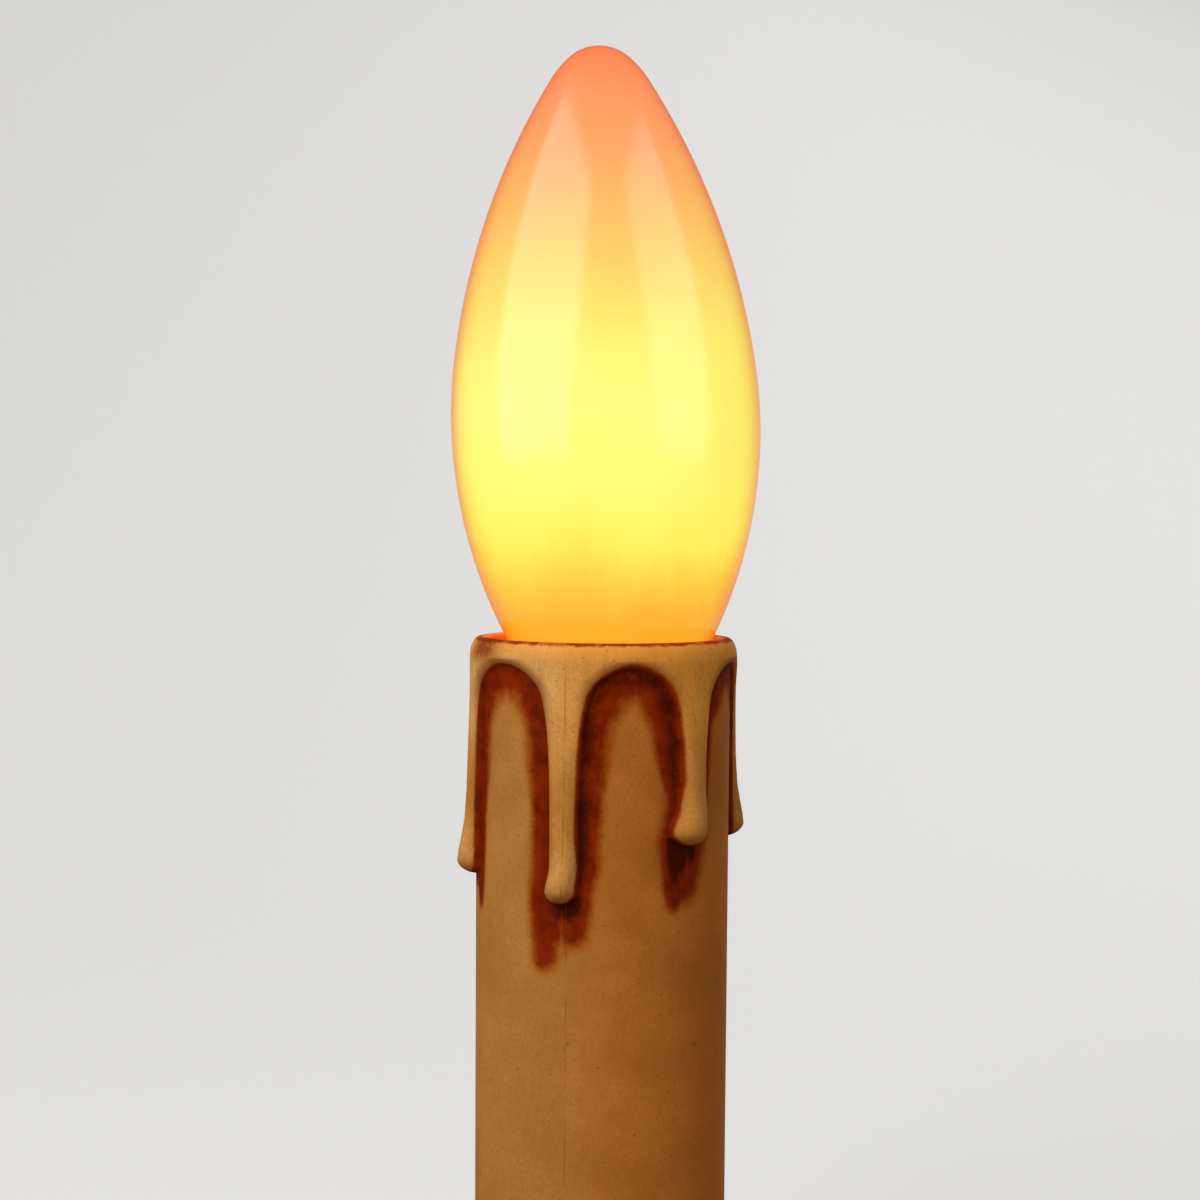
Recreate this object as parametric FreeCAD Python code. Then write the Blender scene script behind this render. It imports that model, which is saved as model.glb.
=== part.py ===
# An electric candle: a candle lamp screwed into its lampholder, inside a moulded sleeve with wax drips.
# Millimetres, +Z up. The origin is the centre of the ring on which the sleeve stands.
# The screw thread is the E14 one: a turn of the lamp, anticlockwise from above, lifts it by one pitch.
import FreeCAD, Part
import math
import os

from FreeCAD import Placement, Rotation, Vector

UP = Vector(0, 0, 1)
ORIGIN = Vector(0, 0, 0)
OVERCUT = 1.0  # how far a cutting tool runs past the face that it opens
TOLERANCE = 0.01  # for finding an edge by its place or length

# Everything hangs from the lamp's tip downwards: glass, cap, contacts, base. The stirrup takes what is left.
overall_height = 151.75

# Glass, as arcs that run into each other. An arc's end angle is its slope, in degrees from the vertical.
glass_radius = 17.5
belly_radius = 51.0
belly_end_angle = 7.3
flank_radius = 79.3
flank_end_angle = 32.1
shoulder_radius = 11.9
shoulder_end_angle = 49.2
lower_arc_radius = 54.5
neck_arc_radius = 5.0
neck_radius = 7.3
neck_straight = 2.12
neck_depth = 4.0  # inside the cap's skirt
longest_arc = 10.0  # a longer arc is drawn in several pieces

# Sleeve. Its rim stands where the glass has this room in the bore.
rim_clearance = 1.2
sleeve_bore_diameter = 26.0
sleeve_foot_wall = 1.175
sleeve_neck_wall = 1.375
sleeve_foot_chamfer = 0.35
sleeve_gap = 0.3  # between the bore and what centres the sleeve

# Wax layer moulded on the sleeve: a band under the rim, arches, and runs that end in a bead
wax_thickness = 0.78
wax_rim_radius = 1.3
wax_sink = 0.1  # how far the band's thin edge lies in the wall
arch_drop = 2.5  # from the rim to the top of an arch
arch_radius = 5.2
arch_slope = 35.0  # degrees, of an arch's edge
wax_feather = 3.0  # height in which the band thins out below the arches' centres
# Each run: degrees round from the front, towards the right, its length below the rim, how much broader
# than the others its bead is, and how far the bead lies to the right
drips = (
    (-79.0, 26.7, 1.0, 0.0),
    (-18.0, 29.7, 1.0, -0.25),
    (44.5, 23.5, 1.25, -0.9),
    (104.0, 22.9, 1.0, 0.0),
    (163.0, 28.2, 1.05, 0.2),
    (222.0, 25.0, 1.1, -0.3),
)
bead_reach = 5.2  # height over which a bead merges with its run
# A run's cross-sections: height above its tip, how far it stands out, and its half width
bead_sections = (
    (0.0, 0.95, 0.85),
    (0.3, 1.75, 1.35),
    (1.3, 2.35, 1.72),
    (2.7, 2.15, 1.68),
    (5.2, 1.6, 1.56),
    (9.5, 1.25, 1.58),
)
# and, from the rim down, where it grows out of the band
root_sections = (
    (9.5, 1.05, 1.85),
    (4.5, 0.7, 2.5),
)
section_points = 12
loft_degree = 3

# Screw thread shared by lamp cap and holder
thread_pitch = 2.822
thread_core_radius = 6.12
thread_depth = 0.76
thread_root_width = 2.3
thread_crest_width = 0.5
thread_clearance = 0.1
thread_lead = 1.5  # turns below the lamp's thread, where the count of both ridges' turns starts

# Lamp cap
thread_length = 12.5
cap_crimp_radius = 5.85
cap_wall = 0.35
cap_bore_radius = 5.55
skirt_radius = 8.5
skirt_height = 7.5
skirt_cone_height = 3.0
skirt_lip = 0.25
insulator_height = 4.4
insulator_tip_radius = 2.6
insulator_depth = 2.0  # inside the cap
turn_gap = 0.04  # between the insulator and the cap that turns on it
contact_radius = 2.3
contact_height = 1.0
seat_gap = 0.04  # between the lamp's contact and the holder's spring
solder_radius = 0.95
solder_angle = 118.0

# Lampholder
contact_depth = 1.6  # of the live contact's crest below the base's top
base_radius = 12.0
base_flange_height = 9.0
base_plug_height = 7.0
barrel_rise = 15.5  # of the barrel above the base's top
plug_clearance = 0.1
barrel_wall = 1.5
barrel_lip = 1.0
barrel_edge_chamfer = 0.8
mouth_clearance = 0.4
shell_wall = 0.85
shell_flange_radius = 9.6
shell_flange = 0.6
shell_clearance = 0.1
core_inner_radius = 8.9
core_height = 11.5
rib_count = 6
rib_width = 1.4
rib_margin = 2.0  # between the ribs and the barrel's lower edge
rib_top_margin = 3.5
well_radius = 5.5
well_depth = 4.0

# Contacts and terminals
strip_thickness = 0.4
strip_width = 4.0
strip_clearance = 0.2
strip_bend_radius = 0.8
contact_rise = 1.9
contact_overrun = 3.0
terminal_inner = 7.0
terminal_depth = 4.4
terminal_width = 6.6
terminal_height = 6.6
terminal_lift = 0.6  # above the stirrup
terminal_edge_radius = 0.3
terminal_clearance = 0.25
wire_hole_radius = 1.2
wire_hole_distance = 8.5
terminal_screw_radius = 1.4
terminal_screw_length = 2.0
screw_head_radius = 2.2
screw_head_height = 1.0
slot_width = 0.6
slot_depth = 0.5

# Stirrup, its screws and the threaded bush in its foot
sheet = 1.2
stirrup_width = 13.0
stirrup_bend_radius = 2.0
stirrup_tab_gap = 8.4
stirrup_screw_distance = 6.6
stirrup_screw_radius = 1.5
stirrup_screw_length = 7.2
stirrup_head_radius = 2.3
stirrup_head_height = 1.6
bush_radius = 6.3
bush_spigot_radius = 5.6
bush_bore_radius = 4.5
bush_height = 9.0
bush_chamfer = 0.5
lock_screw_height = 5.1
lock_screw_radius = 1.5
lock_screw_length = 4.4
lock_screw_gap = 0.3
barrel_screw_radius = 1.1
barrel_screw_length = 3.6
barrel_screw_head_radius = 1.8
barrel_screw_head_height = 0.7
barrel_screw_rise = 3.5  # above the barrel's lower edge
barrel_screw_angles = (45.0, 225.0)

# Worked out from the sizes above
bore_radius = sleeve_bore_diameter / 2
foot_radius = bore_radius + sleeve_foot_wall
neck_wall_radius = bore_radius + sleeve_neck_wall
band_radius = neck_wall_radius + wax_thickness
centring_radius = bore_radius - sleeve_gap
plug_radius = base_radius - barrel_wall - plug_clearance
female_core_radius = thread_core_radius + thread_clearance
female_crest_radius = female_core_radius + thread_depth
shell_radius = female_crest_radius + shell_wall
stirrup_half = math.sqrt(centring_radius**2 - (stirrup_width / 2) ** 2)

# Heights above the widest part of the glass: each arc's end, then the tip
arc_radii = (belly_radius, flank_radius, shoulder_radius)
arc_ends = [math.radians(angle) for angle in (belly_end_angle, flank_end_angle, shoulder_end_angle)]
arc_starts = [0.0] + arc_ends[:-1]
arc_spans = list(zip(arc_radii, arc_starts, arc_ends))
arc_narrowings = [r * (math.cos(a) - math.cos(b)) for r, a, b in arc_spans]
arc_rises = [r * (math.sin(b) - math.sin(a)) for r, a, b in arc_spans]
tip_radius = (glass_radius - sum(arc_narrowings)) / math.cos(arc_ends[-1])
glass_rise = sum(arc_rises) + tip_radius * (1 - math.sin(arc_ends[-1]))

# and below it: the lower arc and the neck's hollow meet at this slope
neck_slope = math.acos(1 - (glass_radius - neck_radius) / (lower_arc_radius + neck_arc_radius))
neck_drop = (lower_arc_radius + neck_arc_radius) * math.sin(neck_slope)
rim_narrowing = glass_radius - (bore_radius - rim_clearance)
rim_drop = math.sqrt(lower_arc_radius**2 - (lower_arc_radius - rim_narrowing) ** 2)

# Heights, from the tip down
widest_height = overall_height - glass_rise
sleeve_height = widest_height - rim_drop
glass_foot = widest_height - neck_drop - neck_straight
skirt_top = glass_foot + neck_depth
thread_top = skirt_top - skirt_height
thread_bottom = thread_top - thread_length
thread_start = thread_bottom - thread_lead * thread_pitch
insulator_bottom = thread_bottom - insulator_height
contact_bottom = insulator_bottom - contact_height
contact_crest_height = contact_bottom - seat_gap
base_top = contact_crest_height + contact_depth
base_plug_bottom = base_top - base_plug_height
stirrup_height = base_plug_bottom - base_flange_height
terminal_bottom = stirrup_height + terminal_lift
holder_height = base_top + barrel_rise
shell_top = holder_height - barrel_lip - shell_clearance
rib_bottom = base_plug_bottom + rib_margin
rib_top = holder_height - rib_top_margin
barrel_screw_height = base_plug_bottom + barrel_screw_rise


def at_angle(shape, degrees, centre=ORIGIN):
    """The shape turned about the vertical axis."""
    turned = shape.copy()
    turned.rotate(centre, UP, degrees)
    return turned


def box(low, high):
    return Part.makeBox(high[0] - low[0], high[1] - low[1], high[2] - low[2], Vector(*low))


def cylinder(radius, bottom, top):
    return Part.makeCylinder(radius, top - bottom, Vector(0, 0, bottom))


def tube(outer, inner, bottom, top):
    bore = cylinder(inner, bottom - OVERCUT, top + OVERCUT)
    return cylinder(outer, bottom, top).cut(bore)


def radial_rod(radius, start, end, height, degrees=0.0):
    """A rod that points away from the axis, along +X before it is turned."""
    rod = Part.makeCylinder(radius, end - start, Vector(start, 0, height), Vector(1, 0, 0))
    return at_angle(rod, degrees)


def turned(points):
    """A solid of revolution from a closed outline of (radius, height) points."""
    corners = [Vector(r, 0, z) for r, z in points]
    outline = Part.makePolygon(corners + corners[:1])
    return Part.Face(outline).revolve(ORIGIN, UP, 360)


def thread_ridge(core, bottom, top, clearance=0.0):
    """A right-hand helical ridge, in whole turns from the common start, that runs past both heights."""
    crest = core + thread_depth
    half_root = thread_root_width / 2 + clearance / 2
    half_crest = thread_crest_width / 2 + clearance / 2
    sink = thread_depth / 3
    half_sunk = half_root + (half_root - half_crest) * sink / thread_depth
    first_turn = math.floor((bottom - thread_start) / thread_pitch - 1)
    last_turn = math.ceil((top - thread_start) / thread_pitch)
    spine = Part.makeHelix(thread_pitch, (last_turn - first_turn) * thread_pitch, core)
    corners = [
        Vector(core - sink, 0, -half_sunk),
        Vector(crest, 0, -half_crest),
        Vector(crest, 0, half_crest),
        Vector(core - sink, 0, half_sunk),
    ]
    sweep = Part.BRepOffsetAPI.MakePipeShell(spine)
    sweep.setFrenetMode(True)
    sweep.add(Part.makePolygon(corners + corners[:1]), False, False)
    sweep.build()
    sweep.makeSolid()
    ridge = sweep.shape()
    ridge.translate(Vector(0, 0, thread_start + first_turn * thread_pitch))
    return ridge


def slotted_screw(head_radius, head_height, shank_radius, shank_length):
    """A screw along +X: its head's underside is at x = 0 and its shank runs to negative x."""
    axis = Vector(1, 0, 0)
    head = Part.makeCylinder(head_radius, head_height, ORIGIN, axis)
    shank = Part.makeCylinder(shank_radius, shank_length, Vector(-shank_length, 0, 0), axis)
    slot = box(
        (head_height - slot_depth, -head_radius - OVERCUT, -slot_width / 2),
        (head_height + OVERCUT, head_radius + OVERCUT, slot_width / 2),
    )
    return head.fuse(shank).cut(slot)


def bent_strip(corners, bends):
    """A strip with its width along X. Its centreline runs through (y, z) corners, the inner ones rounded."""
    points = [Vector(0, y, z) for y, z in corners]
    edges = []
    start = points[0]
    for before, corner, after, radius in zip(points, points[1:], points[2:], bends):
        toward = (before - corner).normalize()
        away = (after - corner).normalize()
        half = toward.getAngle(away) / 2
        reach = radius / math.tan(half)
        first = corner + toward * reach
        last = corner + away * reach
        middle_way = (toward + away).normalize()
        centre = corner + middle_way * (radius / math.sin(half))
        middle = centre - middle_way * radius
        edges.append(Part.makeLine(start, first))
        edges.append(Part.Arc(first, middle, last).toShape())
        start = last
    edges.append(Part.makeLine(start, points[-1]))
    outline = Part.Wire(edges).makeOffset2D(strip_thickness / 2, 0, False, False)
    strip = Part.Face(outline).extrude(Vector(strip_width, 0, 0))
    strip.translate(Vector(-strip_width / 2, 0, 0))
    return strip


# The sleeve

def wall_radius(height):
    """The sleeve's outer radius under the wax: the moulding's draft narrows it towards the foot."""
    return foot_radius + (neck_wall_radius - foot_radius) * height / sleeve_height


def wax_band():
    """A disc of wax under the rim, with a rounded shoulder, thinning to nothing between the runs."""
    low = sleeve_height - arch_drop - arch_radius - wax_feather
    thinning = sleeve_height - arch_drop - arch_radius / 2
    rim_inner = band_radius - wax_rim_radius
    corners = [
        Vector(0, 0, sleeve_height),
        Vector(0, 0, low),
        Vector(wall_radius(low) - wax_sink, 0, low),
        Vector(band_radius, 0, thinning),
        Vector(band_radius, 0, sleeve_height - wax_rim_radius),
    ]
    diagonal = Vector(1, 0, 1).normalize() * wax_rim_radius
    on_shoulder = Vector(rim_inner, 0, sleeve_height - wax_rim_radius) + diagonal
    rim_end = Vector(rim_inner, 0, sleeve_height)
    edges = [Part.makeLine(a, b) for a, b in zip(corners, corners[1:])]
    edges.append(Part.Arc(corners[-1], on_shoulder, rim_end).toShape())
    edges.append(Part.makeLine(rim_end, corners[0]))
    return Part.Face(Part.Wire(edges)).revolve(ORIGIN, UP, 360)


def arch_cutter(front_angle):
    """A round cutter that opens one arch in the band. It widens outwards, so the arch's edge slopes."""
    height = sleeve_height - arch_drop - arch_radius
    reach = band_radius - bore_radius + 2 * OVERCUT
    widening = reach * math.tan(math.radians(arch_slope))
    wall_share = (neck_wall_radius - bore_radius) / reach
    inner = arch_radius - widening * wall_share
    cone = Part.makeCone(inner, inner + widening, reach, Vector(bore_radius, 0, height), Vector(1, 0, 0))
    return at_angle(cone, front_angle - 90)


def run_section(height, stands_out, half_width, side=0.0):
    """One closed cross-section of a run, on the sleeve's wall at the +X side. Its seam lies in the wall."""
    centre = wall_radius(height)
    points = []
    for i in range(section_points):
        turn = math.pi + 2 * math.pi * i / section_points
        outward = centre + stands_out * math.cos(turn)
        points.append(Vector(outward, side + half_width * math.sin(turn), height))
    curve = Part.BSplineCurve()
    curve.interpolate(points, PeriodicFlag=True)
    return Part.Wire([curve.toShape()])


def wax_run(front_angle, length, bead_breadth, bead_side):
    """A run of wax: it leaves the band broad and flat, narrows, and ends in a bead."""
    tip = sleeve_height - length
    sections = []
    for up, out, half in bead_sections:
        share = max(0, 1 - up / bead_reach)
        broad = half * (1 + (bead_breadth - 1) * share)
        sections.append(run_section(tip + up, out, broad, bead_side * share))
    sections += [run_section(sleeve_height - down, out, half) for down, out, half in root_sections]
    run = Part.makeLoft(sections, True, False, False, loft_degree)
    return at_angle(run, front_angle - 90)


def drip_sleeve():
    """The moulded tube with its wax, all in one, bored through."""
    shoulder = sleeve_height - wax_rim_radius
    tube_outside = turned(
        [
            (0, 0),
            (foot_radius - sleeve_foot_chamfer, 0),
            (foot_radius, sleeve_foot_chamfer),
            (wall_radius(shoulder), shoulder),
            (0, shoulder),
        ]
    )
    angles = [drip[0] for drip in drips]
    band = wax_band()
    for left, right in zip(angles, angles[1:] + [angles[0] + 360]):
        band = band.cut(arch_cutter((left + right) / 2))
    runs = [wax_run(*drip) for drip in drips]
    bore = turned(
        [
            (0, -OVERCUT),
            (bore_radius + sleeve_foot_chamfer + OVERCUT, -OVERCUT),
            (bore_radius, sleeve_foot_chamfer),
            (bore_radius, sleeve_height + OVERCUT),
            (0, sleeve_height + OVERCUT),
        ]
    )
    return tube_outside.multiFuse([band] + runs).cut(bore)


# The lamp

def arc_edges(centre, radius, start, end):
    """Edges along an arc between two angles, in radians above the horizontal, none too long."""
    steps = math.ceil(abs(end - start) * radius / longest_arc)
    angles = [start + (end - start) * i / (2 * steps) for i in range(2 * steps + 1)]
    points = [centre + Vector(math.cos(a), 0, math.sin(a)) * radius for a in angles]
    return [Part.Arc(*points[i:i + 3]).toShape() for i in range(0, 2 * steps, 2)]


def bulb_glass():
    """The sealed opal envelope, from its tip to the straight neck in the cap."""
    edges = []
    point = Vector(glass_radius, 0, widest_height)
    closing = (arc_radii + (tip_radius,), arc_starts + arc_ends[-1:], arc_ends + [math.pi / 2])
    for radius, start, end in zip(*closing):
        centre = point - Vector(math.cos(start), 0, math.sin(start)) * radius
        edges += arc_edges(centre, radius, start, end)
        point = centre + Vector(math.cos(end), 0, math.sin(end)) * radius
    lower_centre = Vector(glass_radius - lower_arc_radius, 0, widest_height)
    edges += arc_edges(lower_centre, lower_arc_radius, 0, -neck_slope)
    neck = Vector(neck_radius, 0, widest_height - neck_drop)
    hollow_centre = neck + Vector(neck_arc_radius, 0, 0)
    edges += arc_edges(hollow_centre, neck_arc_radius, math.pi - neck_slope, math.pi)
    foot = Vector(neck_radius, 0, glass_foot)
    edges.append(Part.makeLine(neck, foot))
    edges.append(Part.makeLine(foot, Vector(0, 0, glass_foot)))
    edges.append(Part.makeLine(Vector(0, 0, glass_foot), Vector(0, 0, overall_height)))
    outline = Part.Wire(Part.__sortEdges__(edges))
    return Part.Face(outline).revolve(ORIGIN, UP, 360)


def cap_shell():
    """The threaded cap: a screw with a flared skirt above it and a crimped end below."""
    cone_top = thread_top + skirt_cone_height
    outside = skirt_radius + skirt_lip + OVERCUT
    core = turned(
        [
            (0, thread_bottom - thread_pitch),
            (thread_core_radius, thread_bottom - thread_pitch),
            (thread_core_radius, thread_top),
            (skirt_radius, cone_top),
            (skirt_radius, skirt_top - skirt_lip),
            (skirt_radius + skirt_lip, skirt_top),
            (0, skirt_top),
        ]
    )
    envelope = turned(
        [
            (0, thread_bottom),
            (cap_crimp_radius, thread_bottom),
            (outside, thread_bottom + outside - cap_crimp_radius),
            (outside, skirt_top + OVERCUT),
            (0, skirt_top + OVERCUT),
        ]
    )
    ridge = thread_ridge(thread_core_radius, thread_bottom, thread_top)
    hollow = turned(
        [
            (0, thread_bottom - OVERCUT),
            (cap_bore_radius, thread_bottom - OVERCUT),
            (cap_bore_radius, thread_top + cap_wall),
            (skirt_radius - cap_wall, cone_top + cap_wall),
            (skirt_radius - cap_wall, skirt_top + OVERCUT),
            (0, skirt_top + OVERCUT),
        ]
    )
    return core.fuse(ridge).common(envelope).cut(hollow)


def capping_cement(glass):
    """The ring of cement between the glass neck and the skirt."""
    return cylinder(skirt_radius - cap_wall, glass_foot, skirt_top - cap_wall).cut(glass)


def cap_insulator():
    """The black glass button in the cap's crimped end."""
    inside = cap_bore_radius - turn_gap
    return turned(
        [
            (0, insulator_bottom),
            (insulator_tip_radius, insulator_bottom),
            (cap_crimp_radius - cap_wall, thread_bottom - turn_gap),
            (inside, thread_bottom),
            (inside, thread_bottom + insulator_depth),
            (0, thread_bottom + insulator_depth),
        ]
    )


def cap_contact():
    """The lamp's centre contact: a disc with a domed solder end."""
    sphere_radius = (contact_radius**2 + contact_height**2) / (2 * contact_height)
    centre = contact_bottom + sphere_radius
    ball = Part.makeSphere(sphere_radius, Vector(0, 0, centre))
    return ball.common(cylinder(contact_radius, contact_bottom - OVERCUT, insulator_bottom))


def side_solder(cap, cement):
    """The bead of solder that joins a lead to the skirt's edge."""
    bead = Part.makeSphere(solder_radius, Vector(skirt_radius, 0, skirt_top - solder_radius))
    bead = bead.cut(cylinder(skirt_radius - cap_wall, thread_top, skirt_top))
    return at_angle(bead, solder_angle).cut(cap).cut(cement)


# The lampholder

def thread_shell():
    """The holder's threaded shell, with the flange that the barrel clamps."""
    shell = cylinder(shell_radius, base_top, shell_top)
    shell = shell.fuse(cylinder(shell_flange_radius, base_top, base_top + shell_flange))
    ridge = thread_ridge(female_core_radius, base_top, shell_top, thread_clearance)
    bore = cylinder(female_core_radius, base_top - OVERCUT, shell_top + OVERCUT)
    lead_in = Part.makeCone(
        female_core_radius, female_crest_radius, thread_depth, Vector(0, 0, shell_top - thread_depth)
    )
    return shell.cut(bore).cut(ridge).cut(lead_in)


def barrel_screw_holes(head):
    """The barrel's screws as plain rods: they cut their own holes and their heads' seats."""
    rods = []
    for angle in barrel_screw_angles:
        tip = base_radius - barrel_screw_head_height - barrel_screw_length
        rods.append(radial_rod(barrel_screw_radius, tip, base_radius, barrel_screw_height, angle))
        if head:
            seat = base_radius - barrel_screw_head_height
            rods.append(
                radial_rod(barrel_screw_head_radius, seat, base_radius + OVERCUT, barrel_screw_height, angle)
            )
    return rods


def holder_barrel():
    """The insulating barrel round the shell, with a lip over the shell and ribs that centre the sleeve."""
    body = cylinder(base_radius, base_plug_bottom, holder_height)
    top_edges = [e for e in body.Edges if e.BoundBox.ZMin > holder_height - TOLERANCE]
    body = body.makeChamfer(barrel_edge_chamfer, top_edges)
    ring = tube(centring_radius, base_radius - barrel_wall / 2, rib_bottom, rib_top)
    for i in range(rib_count):
        slab = box((0, -rib_width / 2, rib_bottom), (bore_radius, rib_width / 2, rib_top))
        body = body.fuse(ring.common(at_angle(slab, 360 * i / rib_count)))
    shoulder = base_top + shell_flange
    mouth = female_crest_radius + mouth_clearance
    seat = shell_radius + shell_clearance
    chamber = base_radius - barrel_wall
    body = body.cut(cylinder(mouth, base_plug_bottom, holder_height + OVERCUT))
    body = body.cut(cylinder(seat, base_plug_bottom, holder_height - barrel_lip))
    body = body.cut(cylinder(chamber, base_plug_bottom - OVERCUT, shoulder))
    body = body.cut(tube(chamber, core_inner_radius, shoulder - OVERCUT, shoulder + core_height))
    for rod in barrel_screw_holes(True):
        body = body.cut(rod)
    return body.removeSplitter()


def strip_slot(low, high):
    """Clearance for a contact strip: a slot across the strip's width, between two (y, z) corners."""
    half = strip_width / 2 + strip_clearance
    return box((-half, low[0], low[1]), (half, high[0], high[1]))


def contact_base():
    """The insulating base: a flange under the barrel and a plug inside it, with pockets for the terminals."""
    base = cylinder(base_radius, stirrup_height, base_plug_bottom)
    base = base.fuse(cylinder(plug_radius, base_plug_bottom, base_top))
    base = base.cut(cylinder(well_radius, base_top - well_depth, base_top + OVERCUT))
    pocket_top = terminal_bottom + terminal_height + terminal_clearance
    half = terminal_width / 2 + terminal_clearance
    tail_inner = terminal_inner - strip_thickness - strip_clearance
    for side in (0, 180):
        pocket = box((-half, tail_inner, stirrup_height - OVERCUT), (half, base_radius + OVERCUT, pocket_top))
        base = base.cut(at_angle(pocket, side))
    live_slot = strip_slot(
        (well_radius - OVERCUT, pocket_top - OVERCUT),
        (terminal_inner + strip_clearance, base_top - well_depth + strip_bend_radius + strip_thickness),
    )
    neutral_slot = strip_slot(
        (-terminal_inner - strip_bend_radius - strip_clearance, pocket_top - OVERCUT),
        (-tail_inner, base_top + OVERCUT),
    )
    tab_seat = strip_slot(
        (-shell_flange_radius - strip_clearance, base_top - strip_thickness),
        (-tail_inner, base_top + OVERCUT),
    )
    base = base.cut(live_slot).cut(neutral_slot).cut(tab_seat)
    for side in (0, 180):
        hole_top = stirrup_height - sheet + stirrup_screw_length
        hole = Part.makeCylinder(
            stirrup_screw_radius, hole_top, Vector(stirrup_screw_distance, 0, 0)
        )
        base = base.cut(at_angle(hole, side))
    for rod in barrel_screw_holes(False):
        base = base.cut(rod)
    return base.removeSplitter()


def centre_contact():
    """The live contact: a bronze strip that rises out of its terminal and arches under the lamp."""
    tail = terminal_inner - strip_thickness / 2
    crest = contact_crest_height - strip_thickness / 2
    return bent_strip(
        (
            (tail, terminal_bottom + strip_clearance),
            (tail, crest - contact_rise),
            (0, crest),
            (-contact_overrun, crest - contact_rise / 2),
        ),
        (strip_bend_radius, 2 * strip_bend_radius),
    )


def shell_contact():
    """The neutral contact: a strip from its terminal up to the shell's flange."""
    tail = terminal_inner - strip_thickness / 2
    tab = base_top - strip_thickness / 2
    return bent_strip(
        (
            (-tail, terminal_bottom + strip_clearance),
            (-tail, tab),
            (-shell_flange_radius + strip_thickness, tab),
        ),
        (strip_bend_radius,),
    )


def terminal(side):
    """A brass terminal block, with a wire hole from below and a screw hole from outside."""
    half = terminal_width / 2
    block = box(
        (terminal_inner, -half, terminal_bottom),
        (terminal_inner + terminal_depth, half, terminal_bottom + terminal_height),
    )
    upright = [e for e in block.Edges if abs(e.BoundBox.ZLength - terminal_height) < TOLERANCE]
    block = block.makeFillet(terminal_edge_radius, upright)
    wire_start = Vector(wire_hole_distance, 0, terminal_bottom - OVERCUT)
    wire = Part.makeCylinder(wire_hole_radius, terminal_height + 2 * OVERCUT, wire_start)
    middle = terminal_bottom + terminal_height / 2
    screw = radial_rod(terminal_screw_radius, wire_hole_distance, base_radius, middle)
    return at_angle(block.cut(wire).cut(screw), side)


def terminal_screw(side):
    screw = slotted_screw(
        screw_head_radius, screw_head_height, terminal_screw_radius, terminal_screw_length
    )
    middle = terminal_bottom + terminal_height / 2
    screw.translate(Vector(terminal_inner + terminal_depth, 0, middle))
    return at_angle(screw, side)


def barrel_screws():
    """Two countersunk screws that hold the barrel on the base."""
    screws = []
    for angle in barrel_screw_angles:
        screw = slotted_screw(
            barrel_screw_head_radius, barrel_screw_head_height, barrel_screw_radius, barrel_screw_length
        )
        screw.translate(Vector(base_radius - barrel_screw_head_height, 0, barrel_screw_height))
        screws.append(at_angle(screw, angle))
    return screws


def stirrup():
    """The folded steel strip that carries the base: foot, two legs, and two tabs turned in under the base."""
    half = stirrup_half
    width = stirrup_width / 2
    outer = box((-half, -width, 0), (half, width, stirrup_height))
    inner = box((-half + sheet, -width, sheet), (half - sheet, width, stirrup_height - sheet))
    outer = outer.makeFillet(stirrup_bend_radius, [e for e in outer.Edges if e.BoundBox.YLength > width])
    inner = inner.makeFillet(
        stirrup_bend_radius - sheet, [e for e in inner.Edges if e.BoundBox.YLength > width]
    )
    strip = outer.cut(inner)
    opening = box(
        (-stirrup_tab_gap / 2, -width, stirrup_height - 2 * sheet),
        (stirrup_tab_gap / 2, width, stirrup_height + OVERCUT),
    )
    strip = strip.cut(opening).cut(cylinder(bush_spigot_radius, -OVERCUT, sheet + OVERCUT))
    for side in (0, 180):
        hole = Part.makeCylinder(
            stirrup_screw_radius, 3 * sheet, Vector(stirrup_screw_distance, 0, stirrup_height - 2 * sheet)
        )
        strip = strip.cut(at_angle(hole, side))
    return strip


def stirrup_screw(side):
    screw = slotted_screw(
        stirrup_head_radius, stirrup_head_height, stirrup_screw_radius, stirrup_screw_length
    )
    down = Placement(
        Vector(stirrup_screw_distance, 0, stirrup_height - sheet), Rotation(Vector(0, 1, 0), 90)
    )
    screw.Placement = down.multiply(screw.Placement)
    return at_angle(screw, side)


def thread_bush():
    """The M10 bush riveted in the foot, with a side hole for its locking screw."""
    bush = cylinder(bush_radius, sheet, bush_height)
    top_edge = [e for e in bush.Edges if e.BoundBox.ZMin > bush_height - TOLERANCE]
    bush = bush.makeChamfer(bush_chamfer, top_edge)
    bush = bush.fuse(cylinder(bush_spigot_radius, 0, sheet))
    bush = bush.cut(cylinder(bush_bore_radius, -OVERCUT, bush_height + OVERCUT))
    hole = radial_rod(lock_screw_radius, bush_bore_radius / 2, bush_radius + OVERCUT, lock_screw_height, 90)
    return bush.cut(hole).removeSplitter()


def lock_screw():
    start = bush_bore_radius + lock_screw_gap
    end = start + lock_screw_length
    rod = radial_rod(lock_screw_radius, start, end, lock_screw_height)
    slot = box(
        (end - slot_depth, -lock_screw_radius - OVERCUT, lock_screw_height - slot_width / 2),
        (end + OVERCUT, lock_screw_radius + OVERCUT, lock_screw_height + slot_width / 2),
    )
    return at_angle(rod.cut(slot), 90)


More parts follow.
